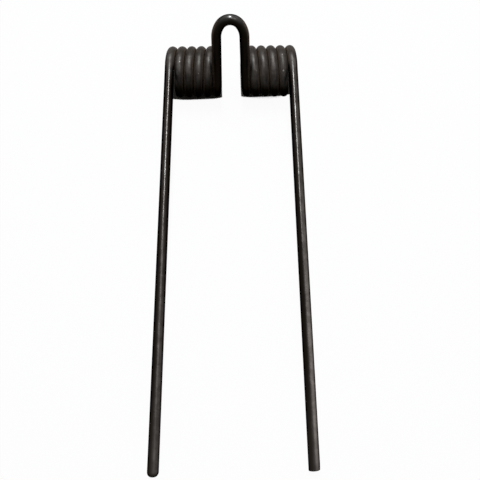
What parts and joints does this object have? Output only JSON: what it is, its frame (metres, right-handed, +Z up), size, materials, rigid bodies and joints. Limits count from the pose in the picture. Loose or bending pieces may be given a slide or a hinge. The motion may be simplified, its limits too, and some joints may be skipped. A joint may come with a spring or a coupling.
{
  "type": "double torsion spring tine",
  "caption": "Double torsion spring tine of round steel wire: mirrored close-wound coils on one axis, a bolt loop between them and long straight tines.",
  "frame": {"origin": "middle of the footprint, on the plane that the coils and the tine tips rest on", "axes": "+Z up; +Y from the tine tips towards the coils; +X along the coil axis, with the squarer tine tip on the +X side; X = 0 is the mirror plane of the winding"},
  "size_m": [0.1473, 0.4308, 0.1028],
  "materials": {
    "oiled_steel": "oil-tempered spring wire, near black with a brown cast, semi-gloss, lightly marked"
  },
  "bodies": {
    "root": {"spring_wire": "oiled_steel"}
  },
  "joints": []
}
